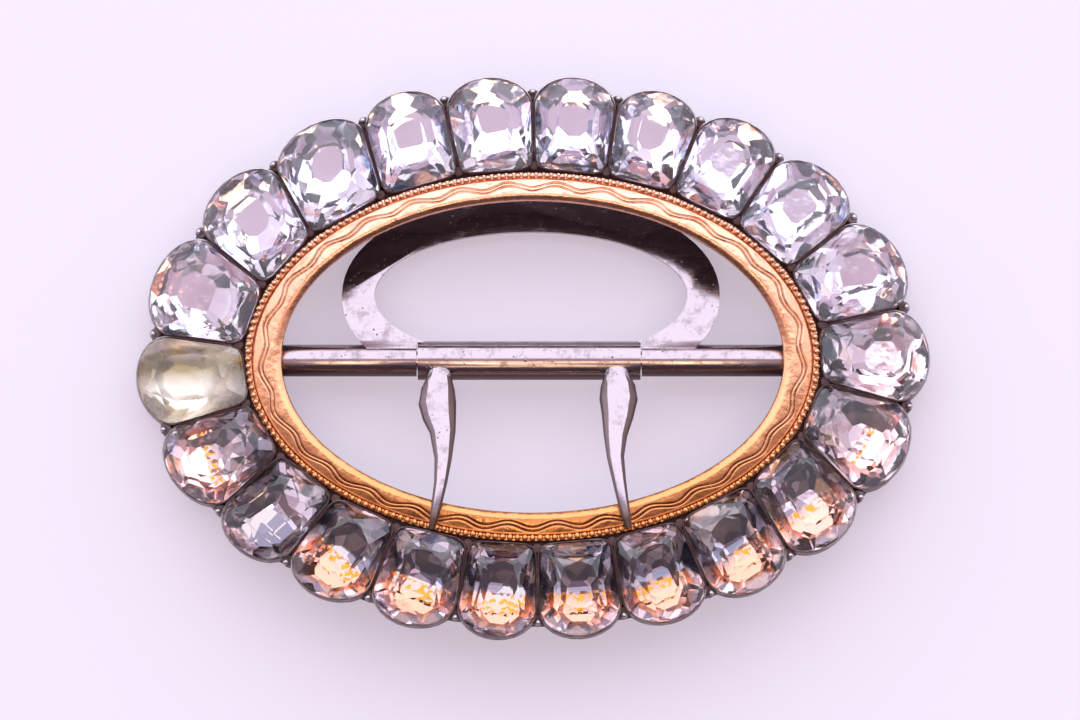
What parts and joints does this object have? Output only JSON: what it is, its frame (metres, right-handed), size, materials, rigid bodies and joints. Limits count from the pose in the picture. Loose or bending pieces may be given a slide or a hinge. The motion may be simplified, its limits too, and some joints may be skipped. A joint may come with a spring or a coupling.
{
  "type": "oval paste-set shoe buckle with a two-pronged tongue and a strap loop",
  "caption": "Oval arched buckle: foiled paste stones in scalloped silver collets round a beaded gold rim, with a steel tongue and strap loop hinged on a crossbar.",
  "frame": {"origin": "centre of the bounding box on the surface that the buckle lies on", "axes": "+X along the buckle's length, parallel to the crossbar; +Y towards the strap loop; +Z out of the front face"},
  "size_m": [0.0699, 0.0491, 0.0107],
  "materials": {
    "silver": "old silver, bright on the edges and dark in the recesses",
    "gold": "rose gold, polished, with a chased wave and a beaded edge",
    "steel": "polished iron or steel, finely pitted",
    "paste": "clear cut lead glass over a pinkish silver foil"
  },
  "bodies": {
    "frame": {"setting": "silver", "gold_rim": "gold", "spindle": "steel", "stone_01": "paste", "stone_02": "paste", "stone_03": "paste", "stone_04": "paste", "stone_05": "paste", "stone_06": "paste", "stone_07": "paste", "stone_08": "paste", "stone_09": "paste", "stone_10": "paste", "stone_11": "paste", "stone_12": "paste", "stone_13": "paste", "stone_14": "paste", "stone_15": "paste", "stone_16": "paste", "stone_17": "paste", "stone_18": "paste", "stone_19": "paste", "stone_20": "paste", "stone_21": "paste", "stone_22": "paste"},
    "tongue": {"tongue": "steel"},
    "loop": {"loop": "steel"}
  },
  "joints": [
    {"name": "tongue_hinge", "type": "hinge", "parent": "frame", "child": "tongue", "pos_m": [0, 0, 0.00445], "axis": [-1, 0, 0], "range_deg": [0, 135]},
    {"name": "loop_hinge", "type": "hinge", "parent": "frame", "child": "loop", "pos_m": [0, 0, 0.00445], "axis": [-1, 0, 0], "range_deg": [-8, 160]}
  ]
}
